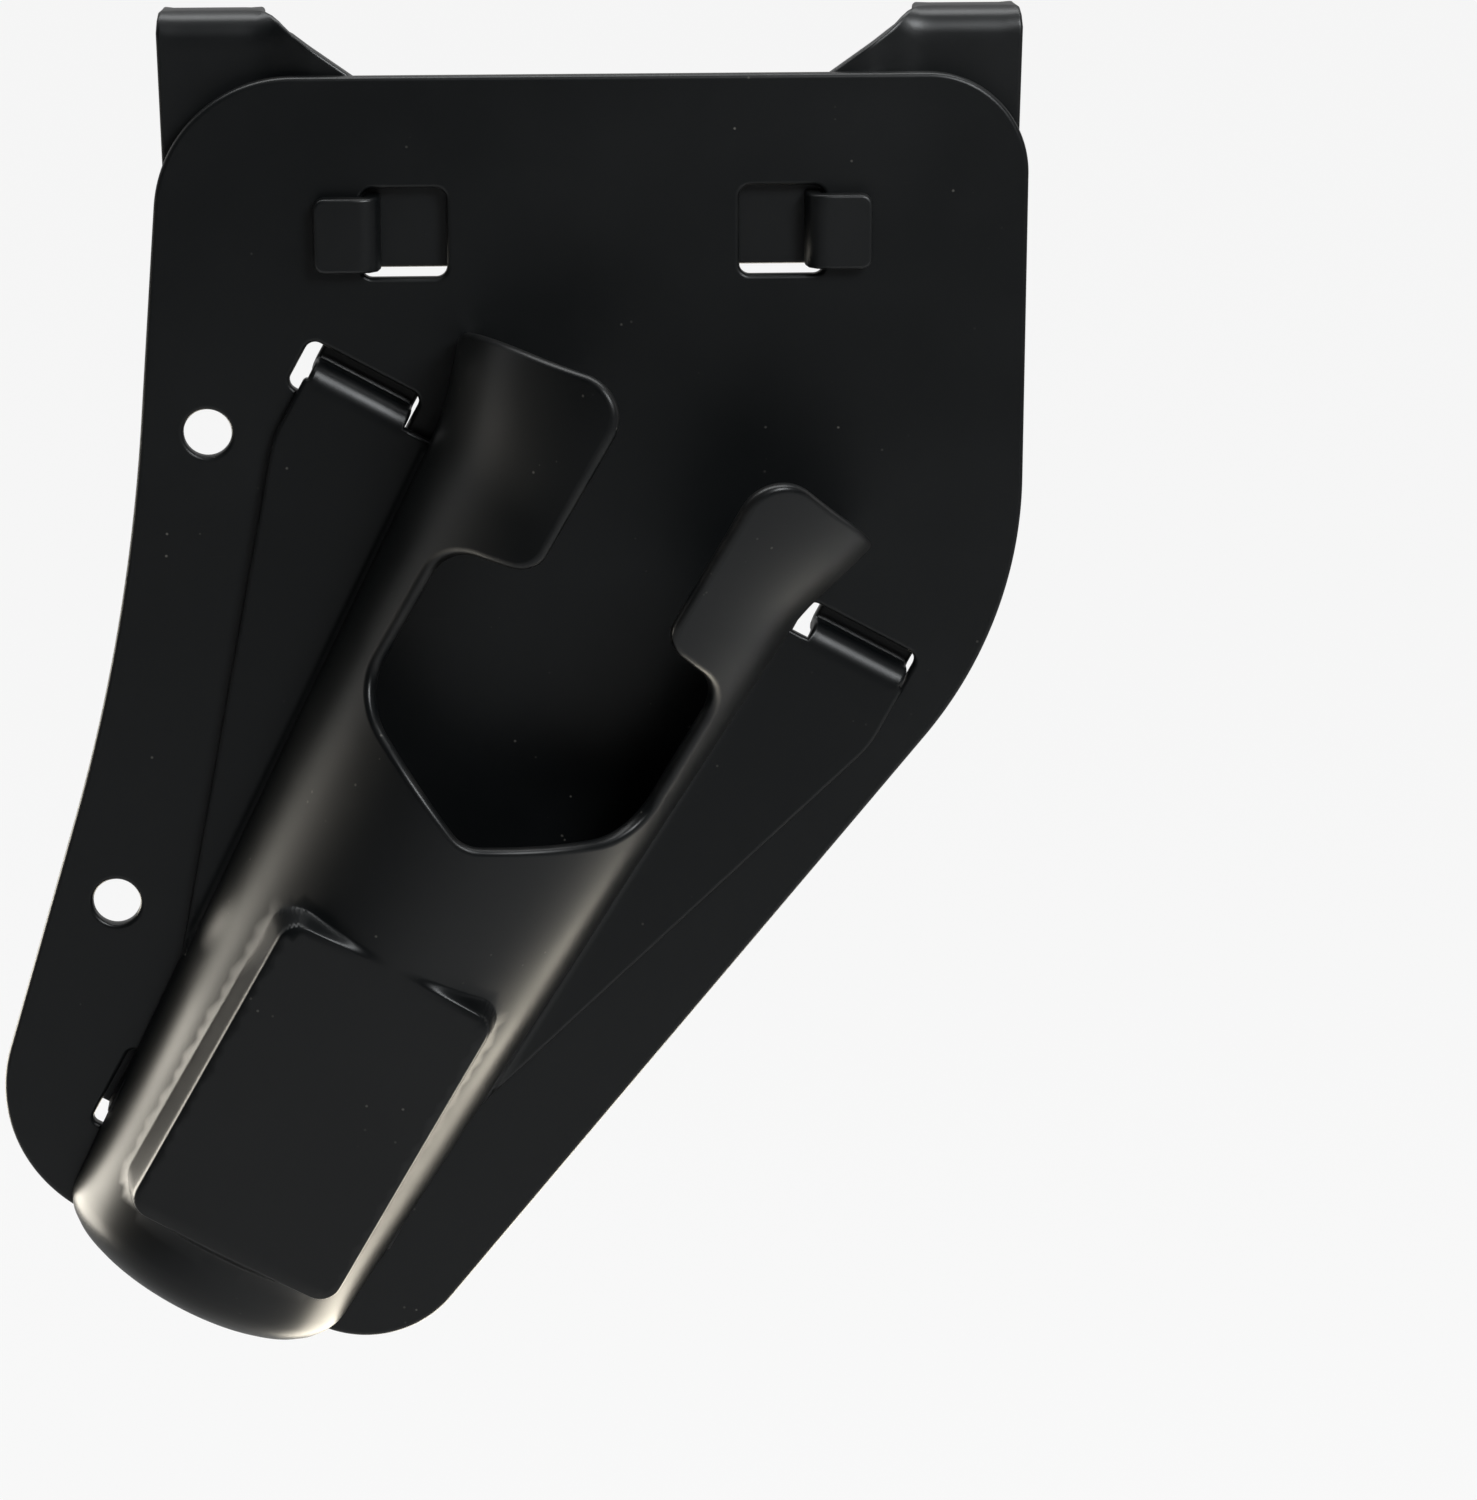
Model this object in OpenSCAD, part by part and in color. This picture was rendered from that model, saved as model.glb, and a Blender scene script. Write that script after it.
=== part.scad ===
// Belt-worn rod holder: a flat plate, a tapered cradle for the rod butt and a clip that hooks over a belt.
// Seen from the front, X points right and Z up, and the front faces -Y.
// The origin is the middle of the belt channel.

/* [Plate] */
// Width of the plate across its top
plate_w = 160.4; // [140:1:200]
// Height of the plate from its top edge to its lowest corner
plate_h = 254; // [240:1:310]
// Thickness of the plate
plate_t = 3; // [2.4:0.1:4]
// How far the plate's top edge stands over the middle of the belt channel
plate_top_z = 18; // [14:0.5:22]
// Diameter of the two tether holes
hole_d = 9; // [5:0.5:12]
// Distance from a tether hole's centre to the plate's edge
hole_margin = 12.5; // [9:0.5:16]

/* [Cradle] */
// Lean of the rod away from upright, in degrees
lean = 28.8; // [22:0.2:34]
// Length of the trough below its seat line
toe_len = 170; // [160:1:180]
// Length of the trough above its seat line, up to the lips
rim_len = 33; // [26:1:40]
// Outer half width of the trough at its toe
toe_r = 29.6; // [25:0.2:31]
// Outer half width of the trough at its lips, before they flare
rim_r = 39.4; // [33:0.2:40]
// Height of the trough's crown over the plate at its toe
toe_h = 24.2; // [21:0.2:30]
// Height of the trough's crown over the plate at its lips
rim_h = 49; // [42:0.5:58]
// Wall of the trough
wall = 3; // [2.4:0.1:4]
// Width that the lips flare out by at each side
flare = 4.6; // [2:0.2:6]
// Width of the mouth between the lips
mouth_w = 27.4; // [22:0.2:34]
// Width of the reel window
window_w = 59.6; // [48:0.4:61]
// Length of the reel window below the seat line
window_len = 58; // [45:0.5:64]
// Width of the raised pad
pad_w = 45; // [30:0.5:46]
// Length of the raised pad
pad_len = 68.5; // [45:0.5:70]
// Thickness of the wings and of their hooked tabs
wing_t = 2.5; // [2:0.1:3]
// Distance from the trough's middle to a wing's outer edge
wing_reach = 64; // [62:0.5:70]
// Length of a wing along the trough
wing_len = 118; // [90:1:125]
// Width of a wing's hooked tab
tab_w = 20.2; // [14:0.2:20.4]
// Distance from the trough's middle to a wing tab's middle
tab_pos = 53.3; // [53:0.1:55]
// Width of a lower tab, along the trough
low_tab_w = 12.2; // [7:0.2:12.4]
// How far a hook reaches past its slot behind the plate
hook_grip = 3.2; // [2:0.1:3.4]

/* [Belt clip] */
// Tallest belt that the clip takes
belt_w = 52; // [40:1:56]
// Thickness of belt that the clip takes
belt_t = 7; // [5:0.5:9]
// Thickness of the clip's sheet
clip_t = 3; // [2.4:0.1:4]
// Width of the clip across its ears
clip_w = 160.8; // [142:1:190]
// Width of one ear
ear_w = 20; // [15:0.5:24]
// Width of a slot in the plate for a clip tongue
clip_slot_w = 15.8; // [14:0.2:18]
// Height of a slot in the plate for a clip tongue
clip_slot_h = 16.8; // [14:0.2:20]
// Distance from the middle to the near end of a clip slot
clip_slot_x = 27.2; // [24:0.2:32]
// How far a tongue laps over the plate beside its slot
tongue_lap = 8.8; // [6:0.2:11]

/* [Fits] */
// Clearance between the cradle and the plate's front
seat_fit = 0.2; // [0.1:0.05:0.3]
// Clearance between a hook or tongue and the plate's face
hook_fit = 0.3; // [0.2:0.05:0.5]
// Side clearance of a tab in its slot
tab_play = 1.7; // [1.6:0.1:2]
// How far the cradle sits to one side in its slots
seat_shift = 1.2; // [0:0.1:1.2]

/* [Hidden] */
$fn = 48;
ARC_STEPS = 12;              // steps in a rounded corner of an outline
RING_STEPS = 32;             // steps round the trough
PLASTIC = [0.09, 0.10, 0.105];
past = 1;                    // how far a cut through a sheet runs past its faces
beyond = 12;                 // how far a larger cut runs past what it cuts

// Layers from back to front
panel_back_y = -belt_t / 2 - clip_t;              // back of the panel, which is the front of the ears
plate_back_y = panel_back_y - clip_t;
plate_front_y = plate_back_y - plate_t;

// Plate corners: [x, z, corner radius], clockwise from the top left one
plate_low_z = plate_top_z - plate_h;
plate_corners = [
  [-plate_w / 2 + 1, plate_top_z, 26],
  [plate_w / 2 + 1, plate_top_z, 19],
  [plate_w / 2 + 0.4, plate_top_z - 105.6, 80],
  [-plate_w / 2 + 39.7, plate_low_z, 21],
  [-plate_w / 2 - 40.2, plate_low_z + 44, 29],
  [-plate_w / 2 - 7.9, plate_top_z - 103.9, 380]];
upper_hole_drop = 66.7;      // the two tether holes below the plate's top edge
lower_hole_drop = 158.2;

// Cradle seat: where the trough's middle crosses the line of the wing tabs
seat_x = 2.2;
seat_z = plate_top_z - 86.4;
taper = (rim_r - toe_r) / (rim_len + toe_len);
crown_rise = (rim_h - toe_h) / (rim_len + toe_len);
toe_roll = 8;                // roll of the trough's edge round its toe
rim_slant = 14.4;            // the lips' plane leans this far, in degrees
flare_start = 2;             // the lips start to flare this far over the seat line
lip_tip_round = 8;           // corners of the lips' tips and feet
lip_foot_round = 6;
lip_drop = 5.2;              // the lips' feet and the window's shoulders below the seat line
window_shoulder = 10.2;
window_foot = 14;            // rise of the window's lower edge from its apex to its sides
window_round = [9, 12, 7];   // corners at the window's shoulders, sides and apex
pad_top = 85;                // pad's top edge below the seat line
pad_round = 5;
pad_proud = 2;               // the pad stands this far over the crown at its lower end
pad_depth = 16;              // depth of the pad's block, down into the wall
wing_top_edge = 13;          // straight part of a wing's outer edge, and the corners at its ends
wing_corner = 0.8;
wing_round = 20;
wing_foot = 30.4;            // distance from the trough's middle to a wing's foot
bend = 0.9;                  // inner radius of a tab's bend
slot_low = 3.5;              // the wing slots below and above the seat line
slot_high = 6.4;
low_slot_top = 133.2;        // the lower slots' ends below the seat line
low_slot_end = 150;
low_slot_round = 1.5;
low_tab_t = 2.4;
low_hook_w = 5.7;            // a lower tab's hook spreads outwards behind the plate
low_tab_gap = 0.8;           // gap over a lower tab in its slot

// Belt clip
channel_top_z = belt_w / 2;
ear_top_z = channel_top_z + clip_t;
clip_slot_top_z = plate_top_z - 20.8;
foot_gap = 1.5;              // gaps round a tongue in its slot: under it, over it and at its neck
head_gap = 1.3;
neck_gap = 0.6;
panel_low_z = clip_slot_top_z - clip_slot_h + foot_gap;
tongue_top_z = clip_slot_top_z - head_gap;
notch_z = -4;                // bottom of the notch between the ears
notch_half_w = 14;
notch_slope = 35.3;          // slope of an ear's inner edge, in degrees
ear_taper = 1;               // an ear's outer edge leans in by this much
jog_in = 8.4;                // run of the jog between an ear and the panel
leg_past = 4;                // a leg runs this far past the channel's foot
leg_low_z = -channel_top_z - leg_past;
barb = 1.6;
edge_round = 2;

function half_w(t) = toe_r + taper * (t + toe_len);
function crown(t) = toe_h + crown_rise * (t + toe_len);
function smooth(u) = u <= 0 ? 0 : u >= 1 ? 1 : u * u * (3 - 2 * u);
function flare_at(t) = flare * smooth((t - flare_start) / (rim_len - 5 - flare_start));

// Points of the arc that rounds corner p[i] of a closed outline of [x, y, radius]
function corner_arc(p, i) =
  let (n = len(p), a = p[(i + n - 1) % n], b = p[i], c = p[(i + 1) % n],
       u = [a.x - b.x, a.y - b.y] / norm([a.x - b.x, a.y - b.y]),
       v = [c.x - b.x, c.y - b.y] / norm([c.x - b.x, c.y - b.y]),
       half = acos(u * v) / 2, middle = (u + v) / norm(u + v),
       centre = [b.x, b.y] + middle * b.z / sin(half),
       start = [b.x, b.y] + u * b.z / tan(half) - centre,
       turn = (u.x * v.y - u.y * v.x > 0 ? -1 : 1) * (180 - 2 * half))
  b.z == 0 ? [[b.x, b.y]] :
  [for (k = [0:ARC_STEPS]) let (q = turn * k / ARC_STEPS)
    centre + [start.x * cos(q) - start.y * sin(q), start.x * sin(q) + start.y * cos(q)]];

function rounded(p) = [for (i = [0:len(p) - 1]) each corner_arc(p, i)];

// x of the plate's left edge at height z
function left_edge(z) =
  let (top = plate_corners[0], waist = plate_corners[5], foot = plate_corners[4])
  z > waist.y ? top.x + (waist.x - top.x) * (top.y - z) / (top.y - waist.y)
              : waist.x + (foot.x - waist.x) * (waist.y - z) / (waist.y - foot.y);

// A sheet of the given thickness whose back face lies at y_back, from an outline in X and Z
module sheet(y_back, t) {
  translate([0, y_back, 0]) rotate([90, 0, 0]) linear_extrude(height = t) children();
}

// Children in the trough's own frame: X across it, Y up along it, Z out of the plate
module cradle_frame(front_y) {
  translate([seat_x, front_y, seat_z]) rotate([90, 0, 0]) rotate([0, 0, -lean]) children();
}

module both_sides() {
  children();
  mirror([1, 0, 0]) children();
}

// Solid through a list of rings that have the same number of points
module loft(rings) {
  n = len(rings[0]);
  m = len(rings);
  polyhedron(
    points = [for (ring = rings) each ring],
    faces = [
      [for (k = [n - 1:-1:0]) k],
      [for (k = [0:n - 1]) (m - 1) * n + k],
      for (j = [0:m - 2]) for (k = [0:n - 1])
        let (a = j * n + k, b = j * n + (k + 1) % n)
        each [[a, b, a + n], [b, b + n, a + n]]],
    convexity = 6);
}

// One arched section of the trough at t, pulled in by inset, with its feet at the height base
function arch(t, inset, base) =
  let (r = half_w(t) - inset, c = crown(t) - half_w(t), low = c < 0 ? asin(-c / r) : 0,
       stretch = 1 + flare_at(t) / half_w(t))
  [[stretch * r * cos(low), t, base],
   for (k = [0:RING_STEPS]) let (a = low + (180 - 2 * low) * k / RING_STEPS)
     [stretch * r * cos(a), t, c + r * sin(a)],
   [-stretch * r * cos(low), t, base]];

// Sections of the trough with a rolled toe and a flared top, all pulled in by inset
function trough(inset, base, top) =
  let (toe = -toe_len + inset, roll = toe_roll - inset)
  concat(
    [for (q = [0:15:75]) arch(toe + roll * (1 - cos(q)), inset + roll * (1 - sin(q)), base)],
    [for (k = [0:3]) arch(toe + roll + (flare_start - toe - roll) * k / 3, inset, base)],
    [for (k = [1:6]) arch(flare_start + (top - flare_start) * k / 6, inset, base)]);

// The window and the mouth over it, in plan
module window_outline() {
  reach = rim_r + flare + beyond;
  side = [
    [reach, rim_len + beyond, 0],
    [reach, rim_len, 0],
    [mouth_w / 2, rim_len, lip_tip_round],
    [mouth_w / 2, -lip_drop, lip_foot_round],
    [window_w / 2, -window_shoulder, window_round[0]],
    [window_w / 2, window_foot - window_len, window_round[1]]];
  apex = [[0, -window_len, window_round[2]]];
  other = [for (i = [len(side) - 1:-1:0]) [-side[i].x, side[i].y, side[i].z]];
  polygon(rounded(concat(side, apex, other)));
}

module wing_outline() {
  inner = toe_r - wall;
  polygon(rounded([
    [inner, 0, 0], [wing_reach, 0, wing_corner], [wing_reach, -wing_top_edge, wing_round],
    [wing_foot, -wing_len, 0], [inner - 4, -wing_len, 0]]));
}

// Section of a wing tab in the plane along the trough: over the wing's edge, back and up behind the plate
module tab_section() {
  back = -seat_fit - plate_t - hook_fit;
  intersection() {
    translate([0, -bend]) difference() {
      circle(bend + wing_t);
      circle(bend);
    }
    translate([0, -bend]) square(bend + wing_t);
  }
  translate([-1, 0]) square([1, wing_t]);
  translate([bend, back - wing_t]) square([wing_t, -back - bend + wing_t]);
  translate([bend, back - wing_t]) square([slot_high + hook_grip - bend, wing_t]);
}

module wing_tab() {
  translate([tab_pos - tab_w / 2, 0, 0]) rotate([90, 0, 90]) linear_extrude(height = tab_w) tab_section();
}

// A lower tab goes from the trough's wall through the plate and turns up and outwards behind it
module low_tab() {
  back = -seat_fit - plate_t - hook_fit;
  top = -low_slot_top - low_tab_gap;
  middle = half_w(top - low_tab_w / 2) - wall / 2;
  translate([middle - low_tab_t / 2, top - low_tab_w, back - wing_t])
    cube([low_tab_t, low_tab_w, -back + wing_t + 3]);
  translate([middle - low_tab_t / 2, top - low_tab_w, back - wing_t])
    cube([low_hook_w, low_tab_w + low_tab_gap + hook_grip, wing_t]);
}

// The raised pad as a block under its tilted face, before the trough's hollow is taken out
module pad() {
  drop = crown_rise * pad_len - pad_proud;
  translate([0, -pad_top, crown(-pad_top)]) rotate([atan(drop / pad_len), 0, 0])
    translate([0, 0, -pad_depth]) linear_extrude(height = pad_depth)
      polygon(rounded([
        [-pad_w / 2, 0, pad_round], [pad_w / 2, 0, pad_round],
        [pad_w / 2, -pad_len, pad_round], [-pad_w / 2, -pad_len, pad_round]]));
}

module back_plate() {
  color(PLASTIC) difference() {
    sheet(plate_back_y, plate_t) polygon(rounded(plate_corners));
    for (drop = [upper_hole_drop, lower_hole_drop])
      let (z = plate_top_z - drop)
      translate([left_edge(z) + hole_margin, plate_back_y + past, z])
        rotate([90, 0, 0]) cylinder(h = plate_t + 2 * past, d = hole_d);
    // slots for the clip's tongues
    for (side = [-1, 1])
      sheet(plate_back_y + past, plate_t + 2 * past)
        translate([side * (clip_slot_x + clip_slot_w / 2), clip_slot_top_z - clip_slot_h / 2])
          rounded_box(clip_slot_w, clip_slot_h, edge_round);
    // slots for the cradle's tabs
    cradle_frame(plate_back_y + past) for (side = [-1, 1]) {
      translate([side * tab_pos - seat_shift, (slot_high - slot_low) / 2, 0])
        linear_extrude(height = plate_t + 2 * past)
          rounded_box(tab_w + 2 * tab_play, slot_high + slot_low, edge_round);
      translate([side * low_tab_middle() - seat_shift, -(low_slot_top + low_slot_end) / 2, 0])
        linear_extrude(height = plate_t + 2 * past)
          rounded_box(low_tab_t + 2 * tab_play, low_slot_end - low_slot_top, low_slot_round);
    }
  }
}

function low_tab_middle() = half_w(-low_slot_top - low_tab_gap - low_tab_w / 2) - wall / 2;

module rounded_box(w, h, r) {
  polygon(rounded([[-w / 2, h / 2, r], [w / 2, h / 2, r], [w / 2, -h / 2, r], [-w / 2, -h / 2, r]]));
}

module rod_cradle() {
  far = rim_r + flare + beyond;
  color(PLASTIC) cradle_frame(plate_front_y - seat_fit) {
    difference() {
      union() {
        loft(trough(0, -past, rim_len + beyond));
        both_sides() linear_extrude(height = wing_t) wing_outline();
        pad();
      }
      loft(trough(wall, -2 * past, rim_len + beyond + past));
      translate([-far, -toe_len - beyond, -beyond]) cube([2 * far, toe_len + rim_len + 3 * beyond, beyond]);
      // the lips' plane
      translate([-far, rim_len, rim_h]) rotate([-rim_slant, 0, 0]) translate([0, 0, -2 * rim_h])
        cube([2 * far, rim_h, 3 * rim_h]);
      translate([0, 0, wing_t]) linear_extrude(height = rim_h + beyond) window_outline();
    }
    both_sides() {
      wing_tab();
      low_tab();
    }
  }
}

// The clip's front outline: two ears, the notch between them and the panel's straight foot
module clip_outline() {
  half = clip_w / 2;
  ear_in = half - ear_w;
  notch_run = (ear_top_z - notch_z) / tan(notch_slope);
  side = [
    [max(ear_in - notch_run, notch_half_w), notch_z, 0],
    [ear_in, ear_top_z, 1],
    [half, ear_top_z, edge_round],
    [half - ear_taper, panel_low_z, edge_round]];
  other = [for (i = [len(side) - 1:-1:0]) [-side[i].x, side[i].y, side[i].z]];
  polygon(rounded(concat(side, other)));
}

// The clip's sheet from above: the panel against the plate and the two ears set back from it
module clip_plan() {
  half = clip_w / 2;
  ear_in = half - ear_w;
  jog = ear_in - jog_in;
  front = [[-half, panel_back_y], [-ear_in, panel_back_y], [-jog, plate_back_y],
           [jog, plate_back_y], [ear_in, panel_back_y], [half, panel_back_y]];
  back = [for (i = [len(front) - 1:-1:0]) front[i] + [0, clip_t]];
  polygon(concat(front, back));
}

// Section of the belt hook behind an ear: over the belt, down behind it and in at a barb
module hook_section() {
  y0 = -belt_t / 2 - clip_t;
  y1 = belt_t / 2;
  polygon([
    [y0, channel_top_z], [y0, ear_top_z], [y1 + clip_t, ear_top_z], [y1 + clip_t, leg_low_z],
    [y1 + clip_t / 3, leg_low_z], [y1 - barb, leg_low_z + leg_past - 1],
    [y1, leg_low_z + leg_past], [y1, channel_top_z]]);
}

module belt_clip() {
  half = clip_w / 2;
  neck_x = clip_slot_x + clip_slot_w - neck_gap - clip_t;
  tongue_y = plate_front_y - hook_fit - clip_t;
  tongue_h = tongue_top_z - panel_low_z;
  color(PLASTIC) {
    intersection() {
      sheet(0, beyond - plate_back_y) clip_outline();
      translate([0, 0, panel_low_z - past]) linear_extrude(height = ear_top_z - panel_low_z + 2 * past)
        clip_plan();
    }
    both_sides() {
      translate([half - ear_w, 0, 0]) rotate([90, 0, 90]) linear_extrude(height = ear_w - ear_taper)
        hook_section();
      translate([neck_x, tongue_y, panel_low_z]) cube([clip_t, plate_back_y - tongue_y, tongue_h]);
      sheet(tongue_y + clip_t, clip_t)
        polygon(rounded([
          [neck_x, tongue_top_z, 0], [neck_x + clip_t + neck_gap + tongue_lap, tongue_top_z, edge_round],
          [neck_x + clip_t + neck_gap + tongue_lap, panel_low_z, edge_round], [neck_x, panel_low_z, 0]]));
    }
  }
}

back_plate();
rod_cradle();
belt_clip();
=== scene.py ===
import bpy
import math
import numpy as np
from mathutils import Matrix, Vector
from mathutils.geometry import delaunay_2d_cdt


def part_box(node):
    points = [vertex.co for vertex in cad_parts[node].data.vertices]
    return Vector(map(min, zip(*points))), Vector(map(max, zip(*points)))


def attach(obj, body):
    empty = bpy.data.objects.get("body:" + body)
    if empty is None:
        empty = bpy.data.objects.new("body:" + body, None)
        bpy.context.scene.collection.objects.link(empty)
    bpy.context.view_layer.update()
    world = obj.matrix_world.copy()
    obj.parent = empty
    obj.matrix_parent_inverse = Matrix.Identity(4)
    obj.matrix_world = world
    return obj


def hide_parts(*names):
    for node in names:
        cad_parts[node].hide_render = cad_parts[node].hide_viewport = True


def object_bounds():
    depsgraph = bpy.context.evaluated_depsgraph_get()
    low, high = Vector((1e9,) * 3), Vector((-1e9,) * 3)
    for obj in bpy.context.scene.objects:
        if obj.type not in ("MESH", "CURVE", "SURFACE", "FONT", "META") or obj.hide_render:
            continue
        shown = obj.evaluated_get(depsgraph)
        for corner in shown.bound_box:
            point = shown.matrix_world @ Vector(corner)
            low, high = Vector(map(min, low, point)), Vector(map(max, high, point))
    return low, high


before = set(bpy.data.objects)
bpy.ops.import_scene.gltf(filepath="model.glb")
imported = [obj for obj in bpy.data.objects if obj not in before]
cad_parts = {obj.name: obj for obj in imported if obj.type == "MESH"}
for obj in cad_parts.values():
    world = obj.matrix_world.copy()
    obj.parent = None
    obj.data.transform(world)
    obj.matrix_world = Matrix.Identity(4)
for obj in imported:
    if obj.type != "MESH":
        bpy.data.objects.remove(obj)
cad_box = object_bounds()

MM = 0.001

# ---------------------------------------------------------------- camera
# A long lens a metre off, a little above the plate's middle and square to it from side to side.
# The object keeps to the left of the frame.
plate_low, plate_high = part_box("back_plate")
middle_drop = 113.8 * MM
view_middle = Vector((0.0, plate_low.y, plate_high.z - middle_drop))
view_rise = math.radians(15.05)
view_side = -0.023
view_distance = 1.044
camera_data = bpy.data.cameras.new("camera")
camera_data.sensor_width = 36.0
camera_data.lens = 131.9
camera = bpy.data.objects.new("camera", camera_data)
bpy.context.scene.collection.objects.link(camera)
view_from = Vector((view_side, -math.cos(view_rise), math.sin(view_rise)))
camera.location = view_middle + view_distance * view_from
aim = view_middle + Vector((27.0, 0, -15.8)) * MM
camera.rotation_euler = (aim - camera.location).to_track_quat("-Z", "Y").to_euler()
bpy.context.scene.camera = camera


# ---------------------------------------------------------------- back plate
# The plate is one flat sheet of injection-moulded black plastic, 3 mm thick, that hangs behind
# the wearer's hip. Its outline and its slots have soft moulded edges, and two round holes at its
# left edge take a tether. Everything else hooks into it.

def outline(corners, step=1.5, fine=0.5):
    """Closed loop through corners (x, y, radius): straight runs cut into equal steps, and at each
    corner the circle of that radius that touches both sides, cut into equal shorter steps."""
    corners = [np.array(c, float) for c in corners]
    arcs = []
    for before, here, after in zip(corners[-1:] + corners[:-1], corners, corners[1:] + corners[:1]):
        to_before = (before - here)[:2] / np.linalg.norm((before - here)[:2])
        to_after = (after - here)[:2] / np.linalg.norm((after - here)[:2])
        half = math.acos(np.clip(to_before @ to_after, -1, 1)) / 2
        radius = here[2]
        if radius == 0 or half > 1.5533:
            arcs.append(here[None, :2])
            continue
        middle = (to_before + to_after) / np.linalg.norm(to_before + to_after)
        centre = here[:2] + middle * radius / math.sin(half)
        spoke = here[:2] + to_before * radius / math.tan(half) - centre
        side = 1 if to_before[0] * to_after[1] - to_before[1] * to_after[0] < 0 else -1
        sweep = side * (math.pi - 2 * half)
        turn = np.linspace(0, sweep, max(4, int(abs(sweep) * radius / fine)) + 1)[:, None]
        arcs.append(centre + spoke * np.cos(turn) + np.array([-spoke[1], spoke[0]]) * np.sin(turn))
    runs = []
    for arc, following in zip(arcs, arcs[1:] + arcs[:1]):
        gap = following[0] - arc[-1]
        count = max(1, int(np.linalg.norm(gap) / step))
        runs += [arc, arc[-1] + gap * np.arange(1, count)[:, None] / count]
    return np.concatenate(runs)


def inside(points, loops):
    """True where a point lies within an odd number of the loops: each edge that crosses the ray
    from the point to the right flips the answer."""
    odd = np.zeros(len(points), bool)
    x, y = points[:, 0, None], points[:, 1, None]
    for loop in loops:
        a, b = loop, np.roll(loop, -1, axis=0)
        spans = (a[:, 1] > y) != (b[:, 1] > y)
        rise = np.where(b[:, 1] == a[:, 1], 1e-12, b[:, 1] - a[:, 1])
        crosses = spans & (x < a[:, 0] + (y - a[:, 1]) * (b[:, 0] - a[:, 0]) / rise)
        odd ^= crosses.sum(axis=1) % 2 == 1
    return odd


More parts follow.
